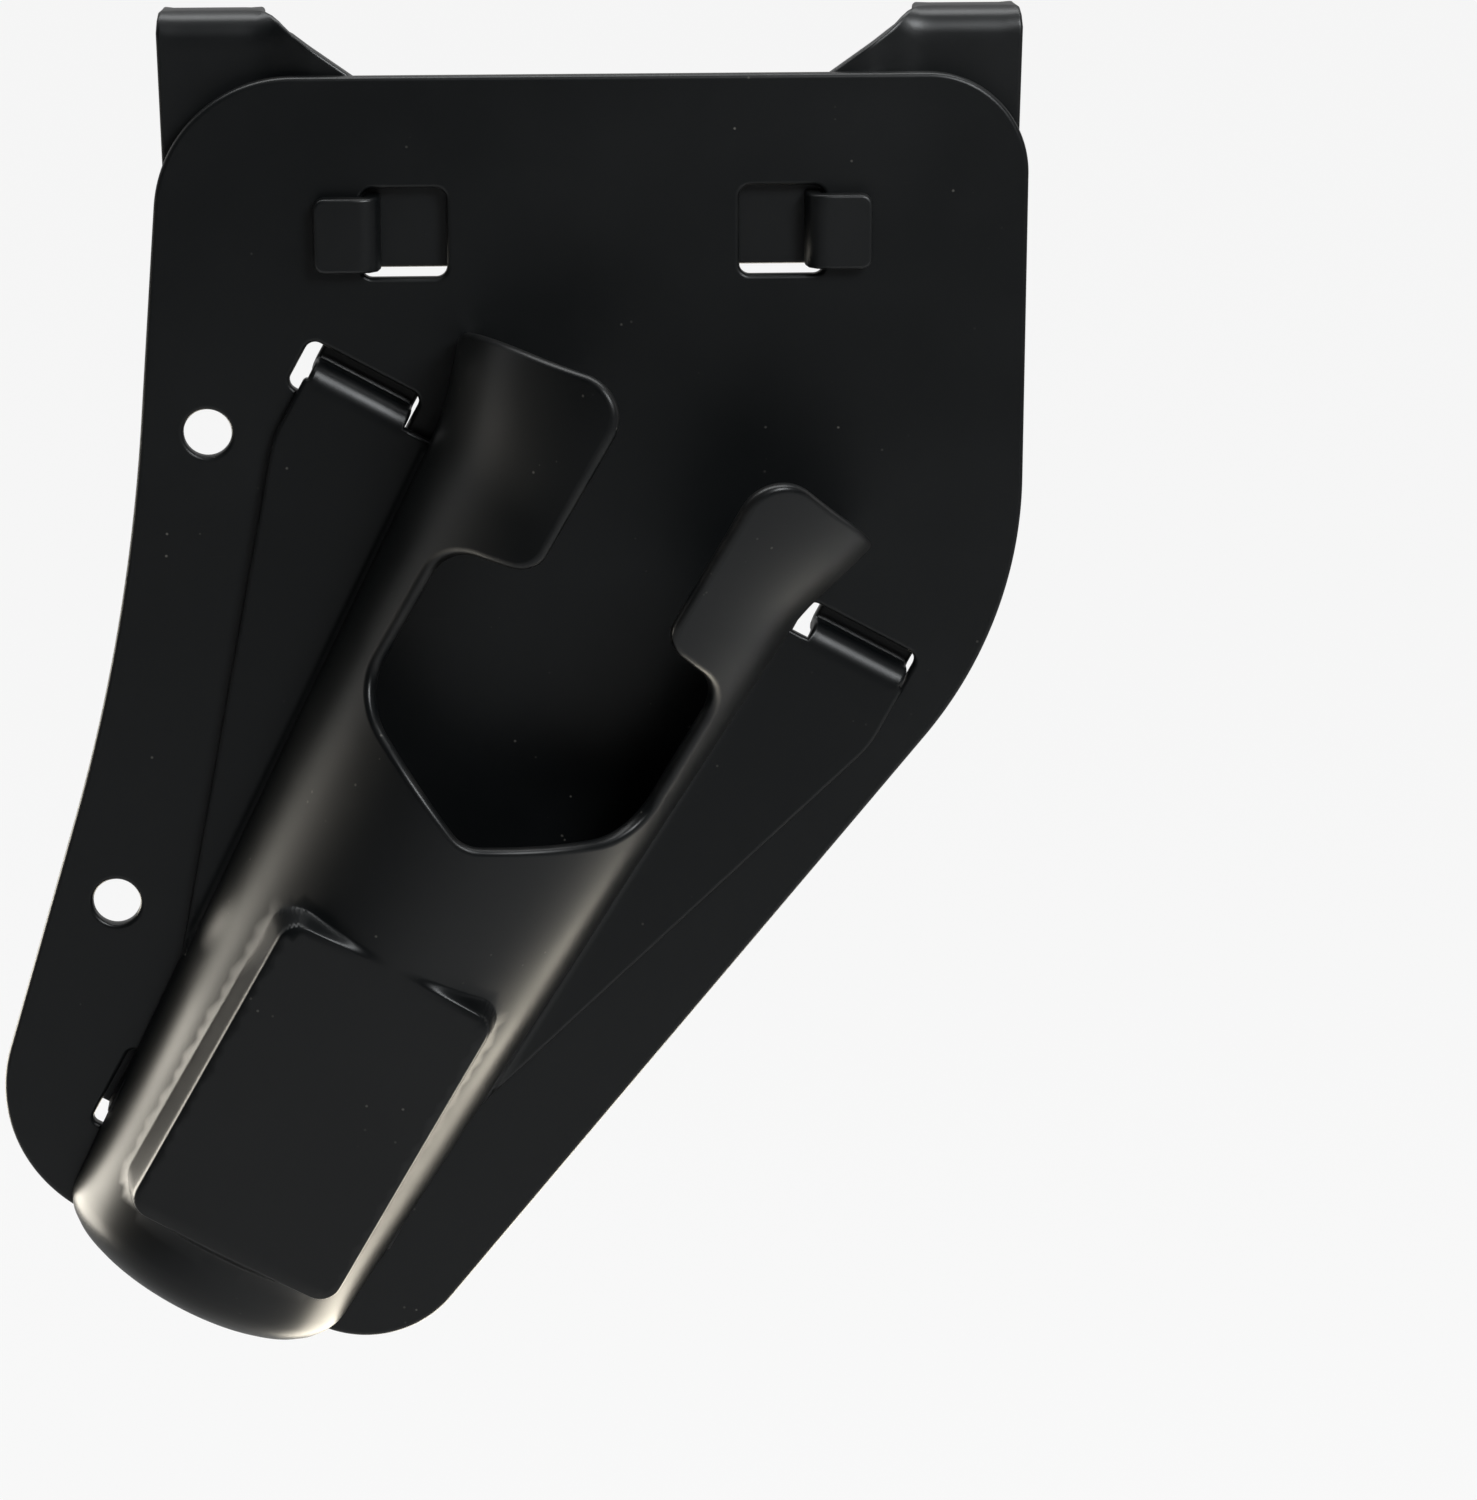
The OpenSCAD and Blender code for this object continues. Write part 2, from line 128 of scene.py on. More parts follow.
def moulded_sheet(loops, place, thickness, edge, pitch=0.0, extra=None):
    """Vertices, faces and an edge mask of a sheet with rounded edges. place(u, v, depth) gives the
    point of the sheet at plan position u, v and that depth, 0 at its back and thickness at its
    front. Each loop carries the edge's profile: in from the edge by the rounding, round a quarter
    circle, down the wall and round to the back. The faces between the loops are triangulated, with
    a grid of points at the given pitch where the sheet is curved. The first loop runs
    anticlockwise and the holes run clockwise. A triangle with no width counts only at a rim."""
    level_row, no_width = 0.15, 1e-4
    extra_clear, rim_clear = pitch * 0.6, max(0.5, pitch * 0.45)
    quarter = np.radians(np.linspace(0, 90, 5))
    front = [(edge * (1 - math.sin(q)), thickness - edge * (1 - math.cos(q)), math.sin(q)) for q in quarter]
    back = [(inset, thickness - depth, mask) for inset, depth, mask in front[::-1]]
    rows = [(edge + level_row, thickness, 0)] + front + back + [(edge + level_row, 0, 0)]
    points, faces, mask, flat, start = [], [], [], [], 0
    for loop in loops:
        along = np.roll(loop, -1, axis=0) - np.roll(loop, 1, axis=0)
        along /= np.linalg.norm(along, axis=1)[:, None]
        inward = np.stack([-along[:, 1], along[:, 0]], axis=1)
        n = len(loop)
        for inset, depth, worn in rows:
            at = loop + inward * inset
            points.append(place(at[:, 0], at[:, 1], np.full(n, depth)))
            mask.append(np.full(n, worn))
        flat.append(loop + inward * rows[0][0])
        here, after = np.arange(n), (np.arange(n) + 1) % n
        for j in range(len(rows) - 1):
            a, b = start + j * n, start + (j + 1) * n
            faces.append(np.stack([a + here, b + here, b + after, a + after], axis=1))
        start += n * len(rows)
    plan = np.concatenate(flat)
    offsets = np.cumsum([0] + [len(loop) * len(rows) for loop in loops])
    front_of = np.concatenate([offsets[i] + np.arange(len(loop)) for i, loop in enumerate(loops)])
    back_of = np.concatenate([offsets[i] + len(loop) * (len(rows) - 1) + np.arange(len(loop))
                              for i, loop in enumerate(loops)])
    added = [extra] if extra is not None else []
    if pitch:
        low, high = plan.min(axis=0), plan.max(axis=0)
        u, v = np.meshgrid(np.arange(low[0], high[0], pitch), np.arange(low[1], high[1], pitch))
        u = u + (np.arange(u.shape[0]) % 2)[:, None] * pitch / 2
        grid = np.stack([u.ravel(), v.ravel()], axis=1)
        if extra is not None:
            grid = grid[distance(grid, extra) > extra_clear]
        added.append(grid)
    if added:
        added = np.concatenate(added)
        added = added[inside(added, flat)]
        added = added[distance(added, plan) > rim_clear]
        plan = np.concatenate([plan, added])
    edges, first = [], 0
    for loop in flat:
        n = len(loop)
        edges += [(first + i, first + (i + 1) % n) for i in range(n)]
        first += n
    made, _, triangles, origin, _, _ = delaunay_2d_cdt([Vector(p) for p in plan], edges, [], 0, 1e-6)
    made = np.array([list(p) for p in made])
    crossed = np.array([i for i, o in enumerate(origin) if not o], int)
    source = np.array([o[0] if o else 0 for o in origin])
    source[crossed] = len(plan) + np.arange(len(crossed))
    plan = np.concatenate([plan, made[crossed]])
    within = plan[first:]
    n = len(within)
    points.append(place(within[:, 0], within[:, 1], np.full(n, thickness)))
    points.append(place(within[:, 0], within[:, 1], np.zeros(n)))
    mask.append(np.zeros(2 * n))
    front_of = np.concatenate([front_of, start + np.arange(n)])
    back_of = np.concatenate([back_of, start + n + np.arange(n)])
    triangles = np.array([list(t) for t in triangles])
    held = inside(made[triangles].mean(axis=1), flat)
    triangles = source[triangles]
    a, b, c = (plan[triangles[:, k]] for k in range(3))
    area = (b[:, 0] - a[:, 0]) * (c[:, 1] - a[:, 1]) - (b[:, 1] - a[:, 1]) * (c[:, 0] - a[:, 0])
    thin = np.abs(area) < no_width
    rims = np.array([i * len(plan) + j for i, j in edges])
    on_rim = np.isin(triangles * len(plan) + np.roll(triangles, -1, axis=1), rims).any(axis=1)
    triangles[~thin & (area < 0)] = triangles[~thin & (area < 0)][:, ::-1]
    triangles = triangles[np.where(thin, on_rim, held)]
    faces = [tuple(f) for strip in faces for f in strip.tolist()]
    faces += front_of[triangles].tolist() + back_of[triangles[:, ::-1]].tolist()
    return np.concatenate(points), faces, np.concatenate(mask)


def distance(points, others):
    """Distance from each point to the nearest of the others, taken in slices to save memory."""
    near = np.empty(len(points))
    for i in range(0, len(points), 2000):
        part = points[i:i + 2000, None] - others[None]
        near[i:i + 2000] = np.sqrt((part ** 2).sum(axis=2)).min(axis=1)
    return near


def mirrored(sheet):
    """The sheet's mirror image across the plane x = 0, with its faces turned to point outwards."""
    points, faces, mask = sheet
    return points * [-1, 1, 1], [f[::-1] for f in faces], mask


def piece(name, sheets, body, node, material):
    """One smooth-shaded object from a list of sheets in millimetres, which rides on a body and
    stands for a node. The edge mask is kept as the attribute edge_wear."""
    points = np.concatenate([s[0] for s in sheets]) * MM
    faces, base = [], 0
    for sheet in sheets:
        faces += [tuple(i + base for i in f) for f in sheet[1]]
        base += len(sheet[0])
    mesh = bpy.data.meshes.new(name)
    mesh.from_pydata(points.tolist(), [], faces)
    mesh.polygons.foreach_set("use_smooth", np.ones(len(mesh.polygons), bool))
    wear = mesh.attributes.new("edge_wear", "FLOAT", "POINT")
    wear.data.foreach_set("value", np.concatenate([s[2] for s in sheets]).astype(np.float32))
    mesh.materials.append(material)
    mesh.update()
    made = bpy.data.objects.new(name, mesh)
    bpy.context.scene.collection.objects.link(made)
    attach(made, body)
    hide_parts(node)
    return made


def moulded_finish():
    """Node group for satin moulded plastic: fine spark-eroded grain, slow swirls of gloss where the
    melt flowed, hairline scratches, a few dust specks and paler rubbed edges."""
    group = bpy.data.node_groups.new("moulded_finish", "ShaderNodeTree")
    sockets = group.interface
    for label, kind, start in (("Plastic", "NodeSocketColor", (0.01, 0.01, 0.01, 1)),
                               ("Rubbed", "NodeSocketColor", (0.03, 0.03, 0.03, 1)),
                               ("Dust", "NodeSocketFloat", 0.5),
                               ("Gloss", "NodeSocketFloat", 0.42),
                               ("Grain", "NodeSocketFloat", 1.0)):
        sockets.new_socket(label, in_out="INPUT", socket_type=kind).default_value = start
    for label, kind in (("Colour", "NodeSocketColor"), ("Roughness", "NodeSocketFloat"),
                        ("Height", "NodeSocketFloat")):
        sockets.new_socket(label, in_out="OUTPUT", socket_type=kind)
    nodes, links = group.nodes, group.links
    given = nodes.new("NodeGroupInput")
    result = nodes.new("NodeGroupOutput")
    place = nodes.new("ShaderNodeTexCoord").outputs["Object"]
    worn = nodes.new("ShaderNodeAttribute")
    worn.attribute_name = "edge_wear"

    def noise(scale, detail, at=place):
        node = nodes.new("ShaderNodeTexNoise")
        node.inputs["Scale"].default_value = scale
        node.inputs["Detail"].default_value = detail
        links.new(at, node.inputs["Vector"])
        return node.outputs["Fac"]

    def band(value, low, high, out_low=0.0, out_high=1.0):
        node = nodes.new("ShaderNodeMapRange")
        ends = {"From Min": low, "From Max": high, "To Min": out_low, "To Max": out_high}
        for label, number in ends.items():
            node.inputs[label].default_value = number
        links.new(value, node.inputs["Value"])
        return node.outputs["Result"]

    def maths(kind, first, second):
        node = nodes.new("ShaderNodeMath")
        node.operation = kind
        for socket, value in zip(node.inputs, (first, second)):
            if isinstance(value, (int, float)):
                socket.default_value = value
            else:
                links.new(value, socket)
        return node.outputs["Value"]

    def blend(kind, factor, first, second):
        node = nodes.new("ShaderNodeMix")
        node.data_type = "RGBA"
        node.blend_type = kind
        colours = [s for s in node.inputs if s.type == "RGBA"]
        links.new(factor, node.inputs["Factor"])
        links.new(first, colours[0])
        if isinstance(second, tuple):
            colours[1].default_value = second
        else:
            links.new(second, colours[1])
        return [s for s in node.outputs if s.type == "RGBA"][0]

    grain = noise(2600, 3)
    swirl = noise(28, 4)
    cloud = noise(9, 2)
    turned = nodes.new("ShaderNodeMapping")
    turned.inputs["Rotation"].default_value = (0, 0.9, 0)
    turned.inputs["Scale"].default_value = (1, 1, 14)
    links.new(place, turned.inputs["Vector"])
    scratch = maths("MULTIPLY", band(noise(130, 1, turned.outputs["Vector"]), 0.74, 0.78),
                    band(noise(45, 2), 0.60, 0.70))
    specks = nodes.new("ShaderNodeTexVoronoi")
    specks.inputs["Scale"].default_value = 300
    links.new(place, specks.inputs["Vector"])
    speck = band(specks.outputs["Distance"], 0.10, 0.04)
    dust = maths("MULTIPLY", speck, band(noise(60, 3), 0.56, 0.68))
    dust = maths("MULTIPLY", dust, given.outputs["Dust"])
    rubbed = maths("MULTIPLY", worn.outputs["Fac"], band(noise(160, 5), 0.35, 0.70))
    clouded = band(cloud, 0.3, 0.7, 0.0, 0.10)
    colour = blend("MIX", clouded, given.outputs["Plastic"], given.outputs["Rubbed"])
    colour = blend("MIX", maths("MULTIPLY", rubbed, 0.7), colour, given.outputs["Rubbed"])
    colour = blend("MIX", maths("MULTIPLY", scratch, 0.35), colour, given.outputs["Rubbed"])
    colour = blend("MIX", dust, colour, (0.20, 0.19, 0.17, 1))
    rough = maths("ADD", given.outputs["Gloss"], band(swirl, 0.3, 0.7, -0.05, 0.06))
    rough = maths("ADD", rough, maths("MULTIPLY", dust, 0.3))
    grained = maths("MULTIPLY", grain, given.outputs["Grain"])
    height = maths("ADD", grained, maths("MULTIPLY", scratch, -0.3))
    links.new(colour, result.inputs["Colour"])
    links.new(rough, result.inputs["Roughness"])
    links.new(height, result.inputs["Height"])
    return group


finish_group = moulded_finish()


def satin_black(name, plastic, rubbed, dust, gloss, grain, shine):
    """Material: the moulded finish under a plain dielectric gloss. Plastic and rubbed are the
    colours of the mass and of its worn edges, and shine is how much of the light it mirrors."""
    material = bpy.data.materials.new(name)
    material.use_nodes = True
    nodes, links = material.node_tree.nodes, material.node_tree.links
    shader = nodes["Principled BSDF"]
    shader.inputs["IOR"].default_value = 1.47
    shader.inputs["Specular IOR Level"].default_value = shine
    finish = nodes.new("ShaderNodeGroup")
    finish.node_tree = finish_group
    finish.inputs["Plastic"].default_value = (*plastic, 1)
    finish.inputs["Rubbed"].default_value = (*rubbed, 1)
    finish.inputs["Dust"].default_value = dust
    finish.inputs["Gloss"].default_value = gloss
    finish.inputs["Grain"].default_value = grain
    bump = nodes.new("ShaderNodeBump")
    bump.inputs["Strength"].default_value = 0.25
    bump.inputs["Distance"].default_value = 0.03 * MM
    links.new(finish.outputs["Colour"], shader.inputs["Base Color"])
    links.new(finish.outputs["Roughness"], shader.inputs["Roughness"])
    links.new(finish.outputs["Height"], bump.inputs["Height"])
    links.new(bump.outputs["Normal"], shader.inputs["Normal"])
    return material


black = (0.0026, 0.0035, 0.0041)
worn_grey = (0.016, 0.016, 0.015)
plate_plastic = satin_black("plate_plastic", black, worn_grey, dust=1.0, gloss=0.38, grain=1.0, shine=0.5)
plate_front, plate_back = plate_low.y / MM, plate_high.y / MM
plate_top = plate_high.z / MM
plate_thick = plate_back - plate_front
plate_half, plate_drop = 80.2, 253.97
plate_edge = 0.8
waist_out, waist_drop = 7.9, 103.9         # the waist, where the left edge starts to run outwards
foot_out, foot_rise, foot_right = 40.16, 44, 39.7
slant_drop = 105.6                         # where the right edge turns in towards the foot
lower_left = (-plate_half - foot_out, plate_top - plate_drop + foot_rise)
waist = (-plate_half - waist_out, plate_top - waist_drop)
plate_corners = [
    (-plate_half + 1, plate_top, 26), (*waist, 380), (*lower_left, 29),
    (-plate_half + foot_right, plate_top - plate_drop, 21), (plate_half + 0.4, plate_top - slant_drop, 80),
    (plate_half + 1, plate_top, 19)]
lean = math.radians(28.8)                  # the cradle leans over to the right
seat_x, seat_drop = 2.2, 86.4              # its origin on the plate
seat = np.array([seat_x, plate_top - seat_drop])
across = np.array([math.cos(lean), -math.sin(lean)])
uphill = np.array([math.sin(lean), math.cos(lean)])


def hole(middle, width, height, radius, turned=False):
    """Clockwise rounded rectangle round a plan point, lying level or leaning with the cradle."""
    box = outline([(-width / 2, height / 2, radius), (width / 2, height / 2, radius),
                   (width / 2, -height / 2, radius), (-width / 2, -height / 2, radius)], fine=0.35)
    if turned:
        box = box[:, :1] * across + box[:, 1:] * uphill
    return box + middle


def round_hole(middle, diameter):
    """Clockwise circle round a plan point."""
    turn = np.linspace(0, -2 * math.pi, 49)[:-1]
    return np.stack([np.cos(turn), np.sin(turn)], axis=1) * diameter / 2 + middle


def left_edge(z):
    """x of the plate's left edge at height z, on the straight lines between its corners."""
    upper = np.interp(-z, [-plate_top, -waist[1]], [-plate_half + 1, waist[0]])
    lower = np.interp(-z, [-waist[1], -lower_left[1]], [waist[0], lower_left[0]])
    return upper if z > waist[1] else lower


tether_diameter, tether_margin, tether_drops = 9.0, 12.5, (66.7, 158.2)
clip_slot = dict(near=27.2, width=15.8, height=16.8, top=plate_top - 20.8)
tab_middle, tab_width, tab_play, seat_shift = 53.3, 20.2, 1.7, 1.2
wing_slot_low, wing_slot_high = -3.5, 6.4
low_slot_top, low_slot_end = -133.2, -150.0
low_tab_middle, low_tab_thick = 29.54, 2.4
low_slot_near = 1.3                        # the lower slots keep close to the tabs' outer sides
slot_round, low_slot_round = 2, 1.5
plate_loops = [outline(plate_corners)]
for drop in tether_drops:
    z = plate_top - drop
    plate_loops.append(round_hole((left_edge(z) + tether_margin, z), tether_diameter))
for side in (-1, 1):
    clip_x = side * (clip_slot["near"] + clip_slot["width"] / 2)
    clip_z = clip_slot["top"] - clip_slot["height"] / 2
    plate_loops.append(hole((clip_x, clip_z), clip_slot["width"], clip_slot["height"], slot_round))
    at = side * tab_middle - seat_shift, (wing_slot_low + wing_slot_high) / 2
    plate_loops.append(hole(seat + at[0] * across + at[1] * uphill, tab_width + 2 * tab_play,
                            wing_slot_high - wing_slot_low, slot_round, turned=True))
    at = side * (low_tab_middle - low_slot_near / 2) - seat_shift, (low_slot_top + low_slot_end) / 2
    low_slot_width = low_tab_thick + 2 * tab_play - low_slot_near
    plate_loops.append(hole(seat + at[0] * across + at[1] * uphill, low_slot_width,
                            low_slot_top - low_slot_end, low_slot_round, turned=True))


def on_plate(u, v, depth):
    """Flat sheet: u is x, v is z, and depth comes forward from the plate's back."""
    return np.stack([u, plate_back - depth, v], axis=1)


piece("back_plate_shell", [moulded_sheet(plate_loops, on_plate, plate_thick, plate_edge)],
      "root", "back_plate", plate_plastic)


# ---------------------------------------------------------------- rod cradle
# The cradle is a second moulding: a tapered half-round trough, closed at its toe, that takes the
# rod's butt. The reel's foot passes the window, and two flared lips guide the rod in. A flat wing
# at each side bends back through a slot in the plate and hooks up behind it.
cradle_grey = (0.018, 0.017, 0.016)
cradle_plastic = satin_black("cradle_plastic", black, cradle_grey,
                             dust=0.6, gloss=0.36, grain=0.8, shine=0.45)
toe_len, rim_len = 170.0, 33.0
toe_r, rim_r = 29.6, 39.4
toe_h, rim_h = 24.2, 49.0
wall, flare, flare_start = 3.0, 4.6, 2.0
toe_roll = 8.0
rim_slant = math.tan(math.radians(14.4))
mouth_half, lip_drop = 13.7, 5.2
window_half, window_shoulder, window_side, window_len = 29.8, 10.2, 44.0, 58.0
half_plan = 56.0                           # the trough's half girth in plan, from crown to foot
end_wall, end_share = 21.0, 0.97           # plan length of the toe's end wall, and the share kept
trough_edge = 1.2
cradle_gap = 0.2
cradle_back = plate_front - cradle_gap
pad_half, pad_top, pad_len, pad_round, pad_proud = 22.5, -85.0, 68.5, 5.0, 2.0
pad_edge = 1.1                             # half the width of the step at the pad's side
lip_end = 5                                # the flare is full this far under the rim
skin = 0.01                                # a depth this near a face is on it


def half_width(t):
    """The trough's radius, which grows evenly from toe to rim."""
    return toe_r + (rim_r - toe_r) * (t + toe_len) / (toe_len + rim_len)


def crown(t):
    """Height of the trough's crown over the plate, which grows evenly from toe to rim."""
    return toe_h + (rim_h - toe_h) * (t + toe_len) / (toe_len + rim_len)


def smooth(x):
    """Smooth step from 0 to 1, level at both ends."""
    x = np.clip(x, 0, 1)
    return x * x * (3 - 2 * x)


def stretch(t):
    """The lips flare: the section widens from flare_start up to the lips' tips."""
    return 1 + flare * smooth((t - flare_start) / (rim_len - lip_end - flare_start)) / half_width(t)


def arc_of(radius, centre):
    """Length of the quarter arc from the crown down to the plate: a centre under the plate cuts
    it short."""
    return radius * (math.pi / 2 - np.arcsin(np.clip(-centre / radius, 0, 0.95)))


def section(share, t, inset):
    """Point of the trough's section at t, pulled in by inset: share runs from -1 at the left foot
    over the crown at 0 to 1 at the right foot. Up from each foot the wall is straight to the
    centre's height, and over that it is a half circle."""
    radius = half_width(t) - inset
    centre = crown(t) - half_width(t)
    arc = arc_of(radius, centre)
    along = np.abs(share) * (arc + np.maximum(centre, 0))
    turn = np.minimum(along, arc) / radius
    rise = centre + radius * np.cos(turn) - np.maximum(along - arc, 0)
    return np.sign(share) * radius * np.sin(turn) * stretch(t), rise


def pad_plane(t):
    """Height of the pad's flat face: level with the crown at its top, proud at its bottom."""
    slope = (crown(pad_top) - crown(pad_top - pad_len) - pad_proud) / pad_len
    return crown(pad_top) - slope * (pad_top - t)


def pad_distance(s, t):
    """Distance outside the pad's rounded rectangle in plan, negative within it."""
    dx = np.abs(s) - (pad_half - pad_round)
    dt = np.abs(t - (pad_top - pad_len / 2)) - (pad_len / 2 - pad_round)
    outside = np.hypot(np.maximum(dx, 0), np.maximum(dt, 0))
    return outside + np.minimum(np.maximum(dx, dt), 0) - pad_round


def on_trough(u, v, depth):
    """Trough: u goes round the section and v up along it. Under the toe's start v goes round the
    toe's roll and then down the end wall, where the section shrinks towards the plate. The front
    face swells into the raised pad, whose side is a smooth step."""
    share = u / half_plan
    inset = wall - depth
    roll = toe_roll - inset
    bend_start = -toe_len + toe_roll
    turn = np.clip((bend_start - v) / toe_roll, 0, math.pi / 2)
    t = np.where(v > bend_start, v, -toe_len + inset + roll * (1 - np.sin(turn)))
    s, h = section(share, t, inset + roll * (1 - np.cos(turn)))
    shrink = np.clip(1 - (bend_start - toe_roll * math.pi / 2 - v) / end_wall, 0.02, 1)
    s, h = s * shrink, h * shrink
    step = smooth(0.5 - pad_distance(s, t) / (2 * pad_edge)) * (depth > wall - skin) * (v > bend_start)
    h = h + step * np.maximum(pad_plane(t) - h, 0)
    return in_cradle(s, t, h)


def in_cradle(s, t, h):
    """From the cradle's own frame, across, along and out of the plate, to the object's frame."""
    flat = seat + s[:, None] * across + t[:, None] * uphill
    return np.stack([flat[:, 0], cradle_back - h, flat[:, 1]], axis=1)


def trough_plan(s, t):
    """Plan position of the trough's outer surface where it lies over s, t."""
    radius = half_width(t)
    centre = crown(t) - radius
    arc = arc_of(radius, centre)
    turn = np.arcsin(np.clip(s / (radius * stretch(t)), -1, 1))
    return np.stack([turn * radius / (arc + np.maximum(centre, 0)) * half_plan, t], axis=1)


def rim_line(u):
    """Height along the trough of the lips' slanted plane, found in a few steps because the plane
    and the trough's crown both rise."""
    t = np.full_like(u, rim_len)
    for _ in range(6):
        t = rim_len - (rim_h - section(u / half_plan, t, 0)[1]) * rim_slant
    return t


trough_end = -toe_len + toe_roll - toe_roll * math.pi / 2 - end_wall * end_share
tip_u = 27.0                               # where the rim's line hands over to the mouth's corner
tip_t = rim_line(np.array([tip_u, tip_u - 1.0]))
tip_s = section(np.array([tip_u, tip_u - 1.0]) / half_plan, tip_t, 0)[0]
mouth_top = tip_t[0] + (tip_t[1] - tip_t[0]) / (tip_s[1] - tip_s[0]) * (mouth_half - tip_s[0])
tip_round, lip_foot_round, shoulder_round, side_round, point_round = 8, 6, 9, 12, 7
half_cut = outline([
    (tip_s[0], tip_t[0], 0), (mouth_half, mouth_top, tip_round), (mouth_half, -lip_drop, lip_foot_round),
    (window_half, -window_shoulder, shoulder_round), (window_half, -window_side, side_round),
    (0, -window_len, point_round), (-window_half, -window_side, 0), (-2 * window_half, 2 * window_half, 0)],
    step=1.2)
half_cut = half_cut[:np.argmax(half_cut[:, 0] < 0)]
half_cut = trough_plan(half_cut[:, 0], half_cut[:, 1])
rim_step, foot_step, foot_corner = 1.2, 1.4, 2.0
rim_foot = float(rim_line(np.array([half_plan]))[0])
rim_u = np.arange(half_plan - 1.5 * rim_step, tip_u + rim_step / 2, -rim_step)
foot_v = np.arange(trough_end + foot_corner, rim_foot - 1.0, foot_step)
base_u = np.arange(0, half_plan - foot_corner, foot_step)
right_side = np.concatenate([
    np.stack([base_u, np.full_like(base_u, trough_end)], axis=1),
    np.stack([np.full_like(foot_v, half_plan), foot_v], axis=1),
    np.stack([rim_u, rim_line(rim_u)], axis=1), half_cut])
left_side = (right_side * [-1, 1])[::-1]
keep = left_side[:, 0] < -0.3
trough_loop = np.concatenate([right_side, left_side[keep]])

pad_rings = []
for offset in np.linspace(-pad_edge, pad_edge, 9):
    half, top, foot = pad_half + offset, pad_top + offset, pad_top - pad_len - offset
    corners = ((-half, top), (half, top), (half, foot), (-half, foot))
    ring = outline([(s, t, pad_round + offset) for s, t in corners], step=1.4, fine=0.8)
    pad_rings.append(trough_plan(ring[:, 0], ring[:, 1]))
trough = moulded_sheet([trough_loop], on_trough, wall, trough_edge, pitch=2.0,
                       extra=np.concatenate(pad_rings))


def fold(run, start, moves):
    """Middle line of a folded sheet in its own plane: from start, heading along the first axis,
    it follows moves of (length, turn in degrees), each an even curve. Gives the point and the
    direction of the sheet's front at each distance in run."""
    point = np.empty((len(run), 2))
    front = np.empty((len(run), 2))
    origin, heading, begun = np.array(start, float), 0.0, 0.0
    for k, (length, turn) in enumerate(moves):
        here = run >= begun if k else np.full(len(run), True)
        far = run[here] - begun
        if k < len(moves) - 1:
            far = np.minimum(far, length) if k else far
        bend = math.radians(turn) / length
        angle = heading + bend * far
        if turn:
            ahead = np.stack([np.sin(angle) - math.sin(heading), math.cos(heading) - np.cos(angle)], axis=1)
            ahead = ahead / bend
        else:
            ahead = far[:, None] * [math.cos(heading), math.sin(heading)]
        point[here] = origin + ahead
        front[here] = np.stack([-np.sin(angle), np.cos(angle)], axis=1)
        last = heading + bend * length
        if turn:
            chord = np.array([math.sin(last) - math.sin(heading), math.cos(heading) - math.cos(last)])
            origin = origin + chord / bend
        else:
            origin = origin + length * np.array([math.cos(heading), math.sin(heading)])
        heading, begun = last, begun + length
    return point, front


wing_thick, wing_reach, wing_foot, wing_len = 2.5, 64.0, 30.4, 118.0
wing_edge, wing_shoulder = 0.7, 13         # the wing's outer edge starts to slant under its shoulder
fillet = 1.6
tab_inner, hook_inner = 0.9, 0.5           # inner radii of the tab's two bends
tab_bend = tab_inner + wing_thick / 2
hook_bend = hook_inner + wing_thick / 2
hook_gap, hook_over = 0.3, 3.2
lead_in = 1.0                              # a straight start, so that the flat sheet runs on
leg = plate_thick + cradle_gap + hook_gap - tab_inner - hook_inner
hook_reach = wing_slot_high + hook_over - (tab_inner + wing_thick + hook_inner)
tab_moves = [(lead_in, 0), (tab_bend * math.pi / 2, -90), (leg, 0), (hook_bend * math.pi / 2, 90),
             (hook_reach, 0)]
tab_run = sum(length for length, _ in tab_moves[1:])


def on_wing(u, v, depth):
    """Wing: flat up to its top edge, then bent back, through the plate and up behind it. Next to
    the trough the front face rises in a small fillet."""
    line, front = fold(v + lead_in, (-lead_in, wing_thick / 2), tab_moves)
    at = line + front * (depth - wing_thick / 2)[:, None]
    away = (np.abs(u) - half_width(np.minimum(v, 0))) / fillet
    rise = fillet * (1 - np.sqrt(1 - (1 - np.clip(away, 0, 1)) ** 2))
    return in_cradle(u, at[:, 0], at[:, 1] + rise * (depth > wing_thick - skin) * (v < -lead_in))


wing_inner = toe_r - wall + 1
tab_near, tab_far = tab_middle - tab_width / 2, tab_middle + tab_width / 2
wing_loop = outline([
    (wing_inner + 8, 0, 1), (wing_inner - 2, -wing_len, 1), (wing_foot, -wing_len, 1.4),
    (wing_reach, -wing_shoulder, 20), (wing_reach, 0, 1), (tab_far, 0, 0), (tab_far, tab_run, 1.2),
    (tab_near, tab_run, 1.2), (tab_near, 0, 0)], step=1.2)
beside = np.linspace(-wing_len + 1, -1, 90)
fillet_rows = np.concatenate([
    np.stack([half_width(beside) + offset, beside], axis=1) for offset in (-0.4, 0.1, 0.5, 0.9, 1.3, 1.8)])
wing = moulded_sheet([wing_loop], on_wing, wing_thick, wing_edge, pitch=1.6, extra=fillet_rows)

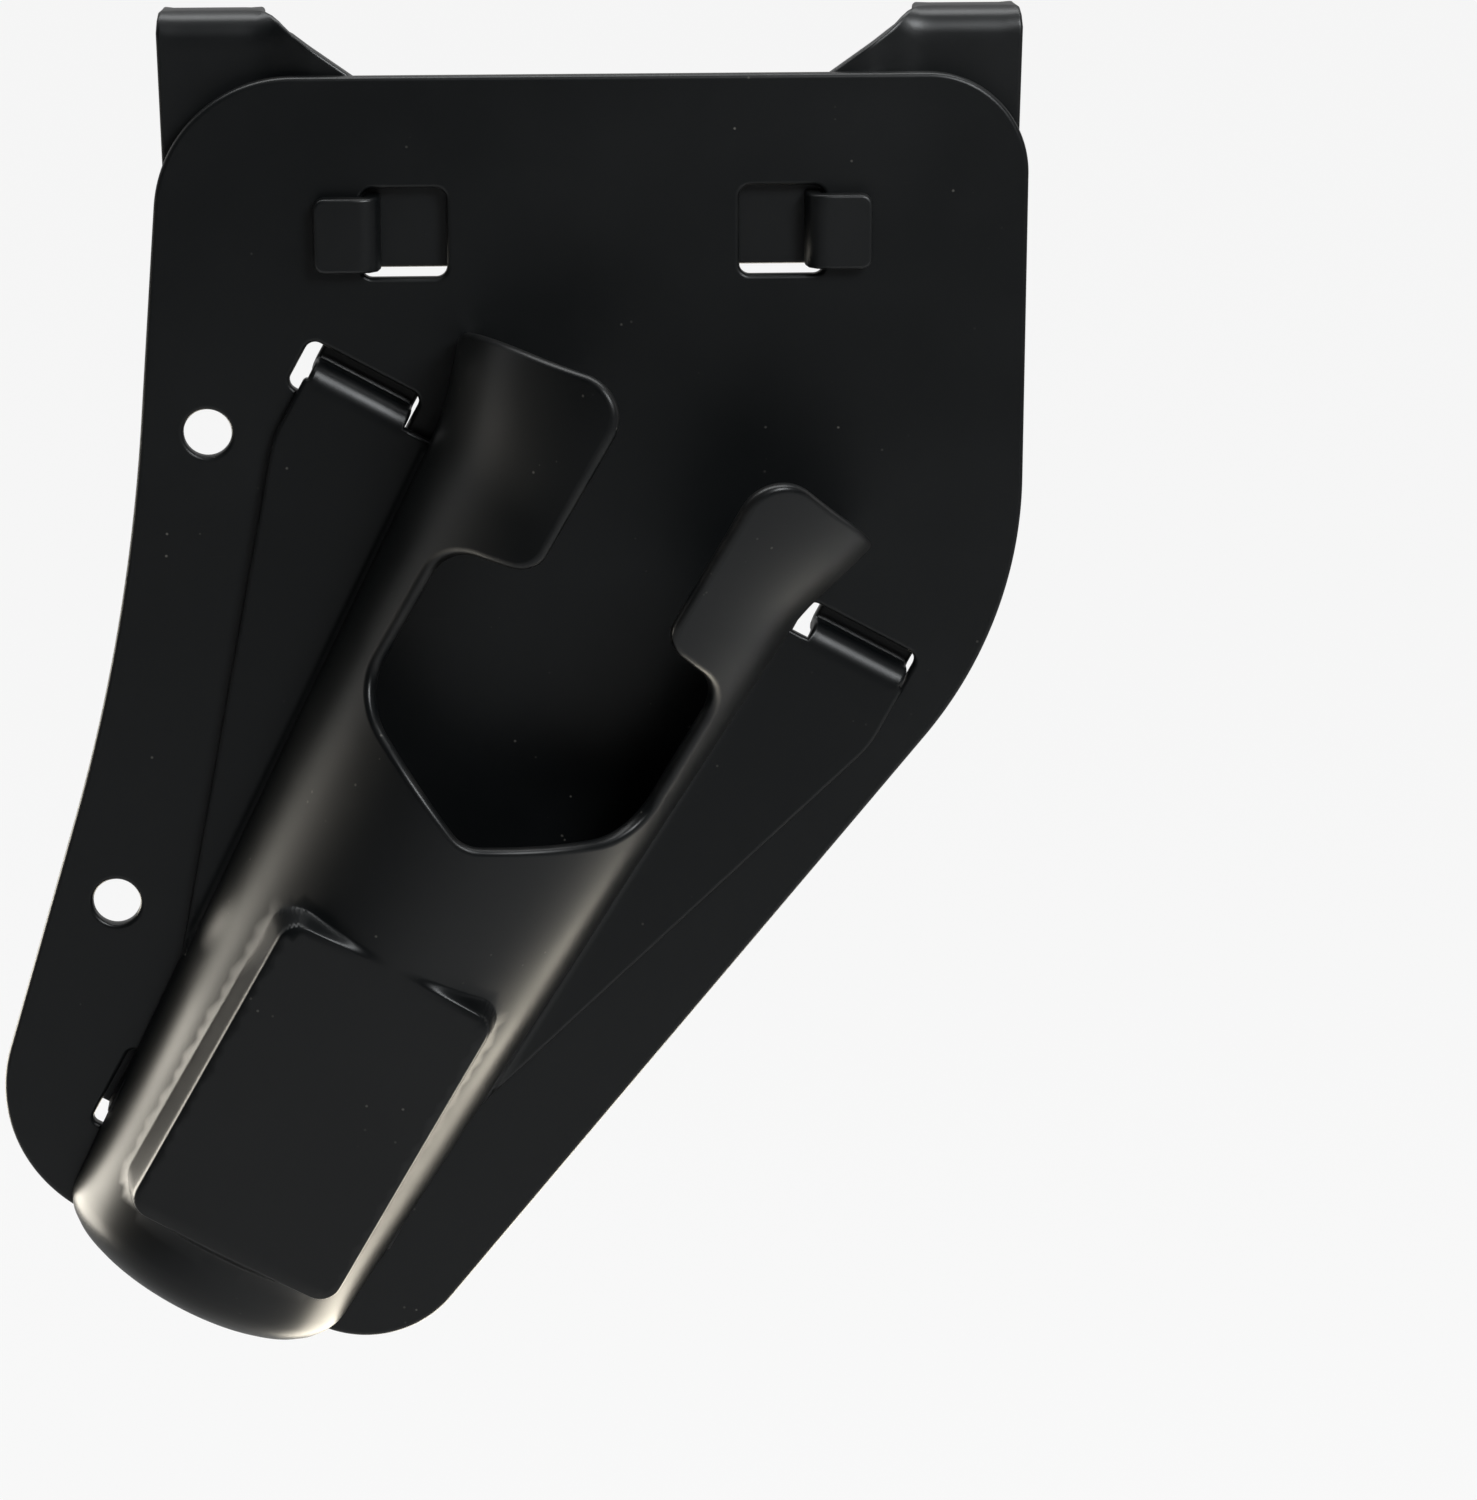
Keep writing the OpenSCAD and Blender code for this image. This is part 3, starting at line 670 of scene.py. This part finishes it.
low_tab_h, low_hook, low_spread = 12.2, 3.2, 5.7
low_leg_edge, low_leg_root = 0.5, 2.6      # the leg's rounding, and how far it reaches into the trough
low_play = 0.8
low_top = low_slot_top - low_play
low_foot = low_top - low_tab_h
behind = -cradle_gap - plate_thick - hook_gap
leg_end = behind - wing_thick + 1
low_tab_in = low_tab_middle - low_tab_thick / 2
low_tab_out = low_tab_in + low_spread
low_tip = low_slot_top + low_hook
leg_loop = outline([(low_top, low_leg_root, 0.8), (low_foot, low_leg_root, 0.8), (low_foot, leg_end, 0.8),
                    (low_top, leg_end, 0.8)], step=1.2)
low_hook_loop = outline([(low_tab_in, low_foot, 1), (low_tab_out, low_foot, 1.4),
                         (low_tab_out, low_tip, 1.4), (low_tab_in, low_tip, 1)], step=1.2)


def on_low_leg(u, v, depth):
    """Lower tab's leg: u lies along the trough, v out of the plate, and depth across the trough."""
    return in_cradle(low_tab_in + depth, u, v)


def on_low_hook(u, v, depth):
    """Lower tab's hook: a flat sheet behind the plate."""
    return in_cradle(u, v, behind - wing_thick + depth)


low_tab = [moulded_sheet([leg_loop], on_low_leg, low_tab_thick, low_leg_edge),
           moulded_sheet([low_hook_loop], on_low_hook, wing_thick, wing_edge)]


def other_side(sheet):
    """The sheet's mirror image across the cradle's own middle plane."""
    points, faces, mask = sheet
    flat = points[:, [0, 2]] - seat
    s, t = flat @ across, flat @ uphill
    flat = seat - s[:, None] * across + t[:, None] * uphill
    return np.stack([flat[:, 0], points[:, 1], flat[:, 1]], axis=1), [f[::-1] for f in faces], mask


side_sheets = [sheet for half in [wing] + low_tab for sheet in (half, other_side(half))]
piece("rod_cradle_shell", [trough] + side_sheets, "cradle", "rod_cradle", cradle_plastic)


# ---------------------------------------------------------------- belt clip
# The clip is the third moulding. Its panel lies behind the plate and two tongues fold through the
# plate's slots to hold it. Its ears stand back from the panel and turn over the belt into legs.
clip_plastic = satin_black("clip_plastic", black, worn_grey, dust=0.6, gloss=0.38, grain=1.0, shine=0.65)
clip_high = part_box("belt_clip")[1]
clip_half = clip_high.x / MM
clip_thick, clip_edge = 3.0, 0.6
ear_top = clip_high.z / MM
ear_width, jog_run, ear_back = 20, 8.4, 3.5
ear_in = clip_half - ear_width
jog_end = ear_in - jog_run
ear_mid = ear_back + clip_thick / 2
panel_mid = -plate_back + clip_thick / 2 - clip_thick
tongue_play = 1.5
panel_low = clip_slot["top"] - clip_slot["height"] + tongue_play
notch_z, notch_slope = -4.0, math.radians(35.3)
notch_x = ear_in - (ear_top - notch_z) / math.tan(notch_slope)
belt_gap, leg_drop = 7.0, 30.0             # the belt's space, and the legs' length under the origin
bend_in = 0.6
bend_mid = bend_in + clip_thick / 2
fold_z = ear_top - clip_thick - bend_in
leg_run = fold_z + leg_drop
hook_moves = [(lead_in, 0), (bend_mid * math.pi / 2, -90), (belt_gap - 2 * bend_in, 0),
              (bend_mid * math.pi / 2, -90), (leg_run, 0)]
hook_run = sum(length for length, _ in hook_moves[1:])
barb_half, barb_high = 2.6, 1.6
barb_at = hook_run - barb_half


def on_clip(u, v, depth):
    """Clip: u is x, and v goes up the panel and the ears and then over the belt and down the legs.
    Between the panel and an ear the sheet steps back along a smooth jog."""
    back_set = np.clip((np.abs(u) - jog_end) / (ear_in - jog_end), 0, 1)
    mid = panel_mid + (ear_mid - panel_mid) * (0.8 * back_set + 0.2 * smooth(back_set))
    line, front = fold(v - fold_z + lead_in, (fold_z - lead_in, 0.0), hook_moves)
    barb = barb_high * np.clip(1 - np.abs(v - fold_z - barb_at) / barb_half, 0, 1) * (depth < skin)
    at = line + front * (depth - barb - clip_thick / 2)[:, None]
    return np.stack([u, -(mid + at[:, 1]), at[:, 0]], axis=1)


ear_out = clip_half - 1
clip_side = [
    (notch_x, notch_z, 3), (ear_in, ear_top, 1), (ear_in, fold_z + hook_run, 1.4),
    (ear_out, fold_z + hook_run, 1.4), (ear_out, fold_z + 8, 0), (clip_half - 0.1, fold_z, 0),
    (clip_half - 1, panel_low, 2)]
clip_corners = clip_side + [(-x, z, r) for x, z, r in clip_side[::-1]]
clip_loop = outline(clip_corners, step=1.5)[::-1]
row_z = np.linspace(panel_low + 2, ear_top, 24)
row_x = (jog_end - 0.5, jog_end + 0.5, ear_in - 0.5, -jog_end + 0.5, -jog_end - 0.5, -ear_in + 0.5)
jog_rows = np.concatenate([np.stack([np.full_like(row_z, x), row_z], axis=1) for x in row_x])
clip_sheet = moulded_sheet([clip_loop], on_clip, clip_thick, clip_edge, pitch=2.2, extra=jog_rows)

neck_play, tongue_lift = 0.6, 0.3          # the tongue's clearances in its slot and over the plate
tongue_reach, tongue_drop = 9.4, 1.3
neck_mid = clip_slot["near"] + clip_slot["width"] - neck_play - clip_thick / 2
tongue_bend = bend_in + clip_thick / 2
tongue_front = -plate_front + tongue_lift + clip_thick / 2
neck_start = -plate_back - lead_in
tongue_run = tongue_reach - neck_play
neck_run = tongue_front - tongue_bend - neck_start
tongue_total = neck_run + tongue_bend * math.pi / 2 + tongue_run - clip_thick / 2 + tongue_play
tongue_top = clip_slot["top"] - tongue_drop


def on_tongue(u, v, depth):
    """Tongue: u leaves the panel forwards and turns outwards over the plate's front, v is z."""
    moves = [(neck_run, 0), (tongue_bend * math.pi / 2, -90), (tongue_total, 0)]
    line, front = fold(u, (0.0, 0.0), moves)
    at = line + front * (depth - clip_thick / 2)[:, None]
    return np.stack([neck_mid - at[:, 1], -(neck_start + at[:, 0]), v], axis=1)


tongue_loop = outline([
    (0, tongue_top, 0.8), (0, panel_low, 0.8), (tongue_total, panel_low, 2),
    (tongue_total, tongue_top, 2)], step=1.2)
tongue = moulded_sheet([tongue_loop], on_tongue, clip_thick, clip_edge, pitch=1.0)

piece("belt_clip_shell", [clip_sheet, tongue, mirrored(tongue)],
      "root", "belt_clip", clip_plastic)


# ---------------------------------------------------------------- floor and light
# A plain pale floor under the object. One soft light hangs over it and one stands before it, and
# two small warm ones behind its lower sides light the trough's flanks past the plate's edges. The
# world is pale behind the object and dark before it, and white where the camera sees it.
low, high = cad_box
floor_mesh = bpy.data.meshes.new("floor")
floor_reach, floor_gap = 4.0, 0.25
floor_corners = [(x * floor_reach, y * floor_reach, low.z - floor_gap)
                 for x, y in ((-1, -1), (1, -1), (1, 1), (-1, 1))]
floor_mesh.from_pydata(floor_corners, [], [(0, 1, 2, 3)])
floor_paint = bpy.data.materials.new("floor_paint")
floor_paint.use_nodes = True
nodes, links = floor_paint.node_tree.nodes, floor_paint.node_tree.links
floor_shader = nodes["Principled BSDF"]
floor_shader.inputs["Base Color"].default_value = (0.6, 0.6, 0.6, 1)
floor_shader.inputs["Roughness"].default_value = 0.9
glow = nodes.new("ShaderNodeEmission")
glow.inputs["Strength"].default_value = 1.0
rays = nodes.new("ShaderNodeLightPath")
seen = nodes.new("ShaderNodeMath")
seen.operation = "MULTIPLY"
seen.inputs[1].default_value = 0.9
mixed = nodes.new("ShaderNodeMixShader")
links.new(rays.outputs["Is Camera Ray"], seen.inputs[0])
links.new(seen.outputs["Value"], mixed.inputs["Fac"])
links.new(floor_shader.outputs["BSDF"], mixed.inputs[1])
links.new(glow.outputs["Emission"], mixed.inputs[2])
links.new(mixed.outputs["Shader"], nodes["Material Output"].inputs["Surface"])
floor_mesh.materials.append(floor_paint)
floor = bpy.data.objects.new("floor", floor_mesh)
bpy.context.scene.collection.objects.link(floor)

world = bpy.data.worlds.new("studio")
bpy.context.scene.world = world
world.use_nodes = True
nodes, links = world.node_tree.nodes, world.node_tree.links
backdrop = nodes["Background"]
backdrop.inputs["Color"].default_value = (1, 1, 1, 1)
heading = nodes.new("ShaderNodeTexCoord")
parts = nodes.new("ShaderNodeSeparateXYZ")
around = nodes.new("ShaderNodeMapRange")
around.interpolation_type = "SMOOTHSTEP"
for label, number in {"From Min": -0.2, "From Max": 0.30, "To Min": 0.01, "To Max": 0.5}.items():
    around.inputs[label].default_value = number
rays = nodes.new("ShaderNodeLightPath")
brightest = nodes.new("ShaderNodeMath")
brightest.operation = "MAXIMUM"
links.new(heading.outputs["Generated"], parts.inputs["Vector"])
links.new(parts.outputs["Y"], around.inputs["Value"])
links.new(around.outputs["Result"], brightest.inputs[0])
links.new(rays.outputs["Is Camera Ray"], brightest.inputs[1])
links.new(brightest.outputs["Value"], backdrop.inputs["Strength"])


def soft_light(name, offset, size, power, warmth):
    """Rectangular lamp at an offset from the object's middle, turned to face it."""
    data = bpy.data.lights.new(name, "AREA")
    data.shape = "RECTANGLE"
    data.size, data.size_y = size
    data.energy = power
    data.color = warmth
    lamp = bpy.data.objects.new(name, data)
    middle = (low + high) / 2
    lamp.location = middle + Vector(offset)
    lamp.rotation_euler = (middle - lamp.location).to_track_quat("-Z", "Y").to_euler()
    lamp.visible_camera = False
    bpy.context.scene.collection.objects.link(lamp)


soft_light("top_light", (0.0, 0.15, 1.0), (1.2, 0.5), 8, (0.97, 0.99, 1.0))
soft_light("front_light", (0.50, -0.75, 0.66), (0.35, 0.35), 7, (0.95, 0.98, 1.0))
soft_light("right_light", (0.09, 0.17, -0.30), (0.20, 0.20), 1.05, (1.0, 0.92, 0.76))
soft_light("left_light", (-0.26, 0.11, -0.09), (0.16, 0.16), 0.9, (1.0, 0.94, 0.82))

bpy.context.scene.view_settings.view_transform = "Standard"
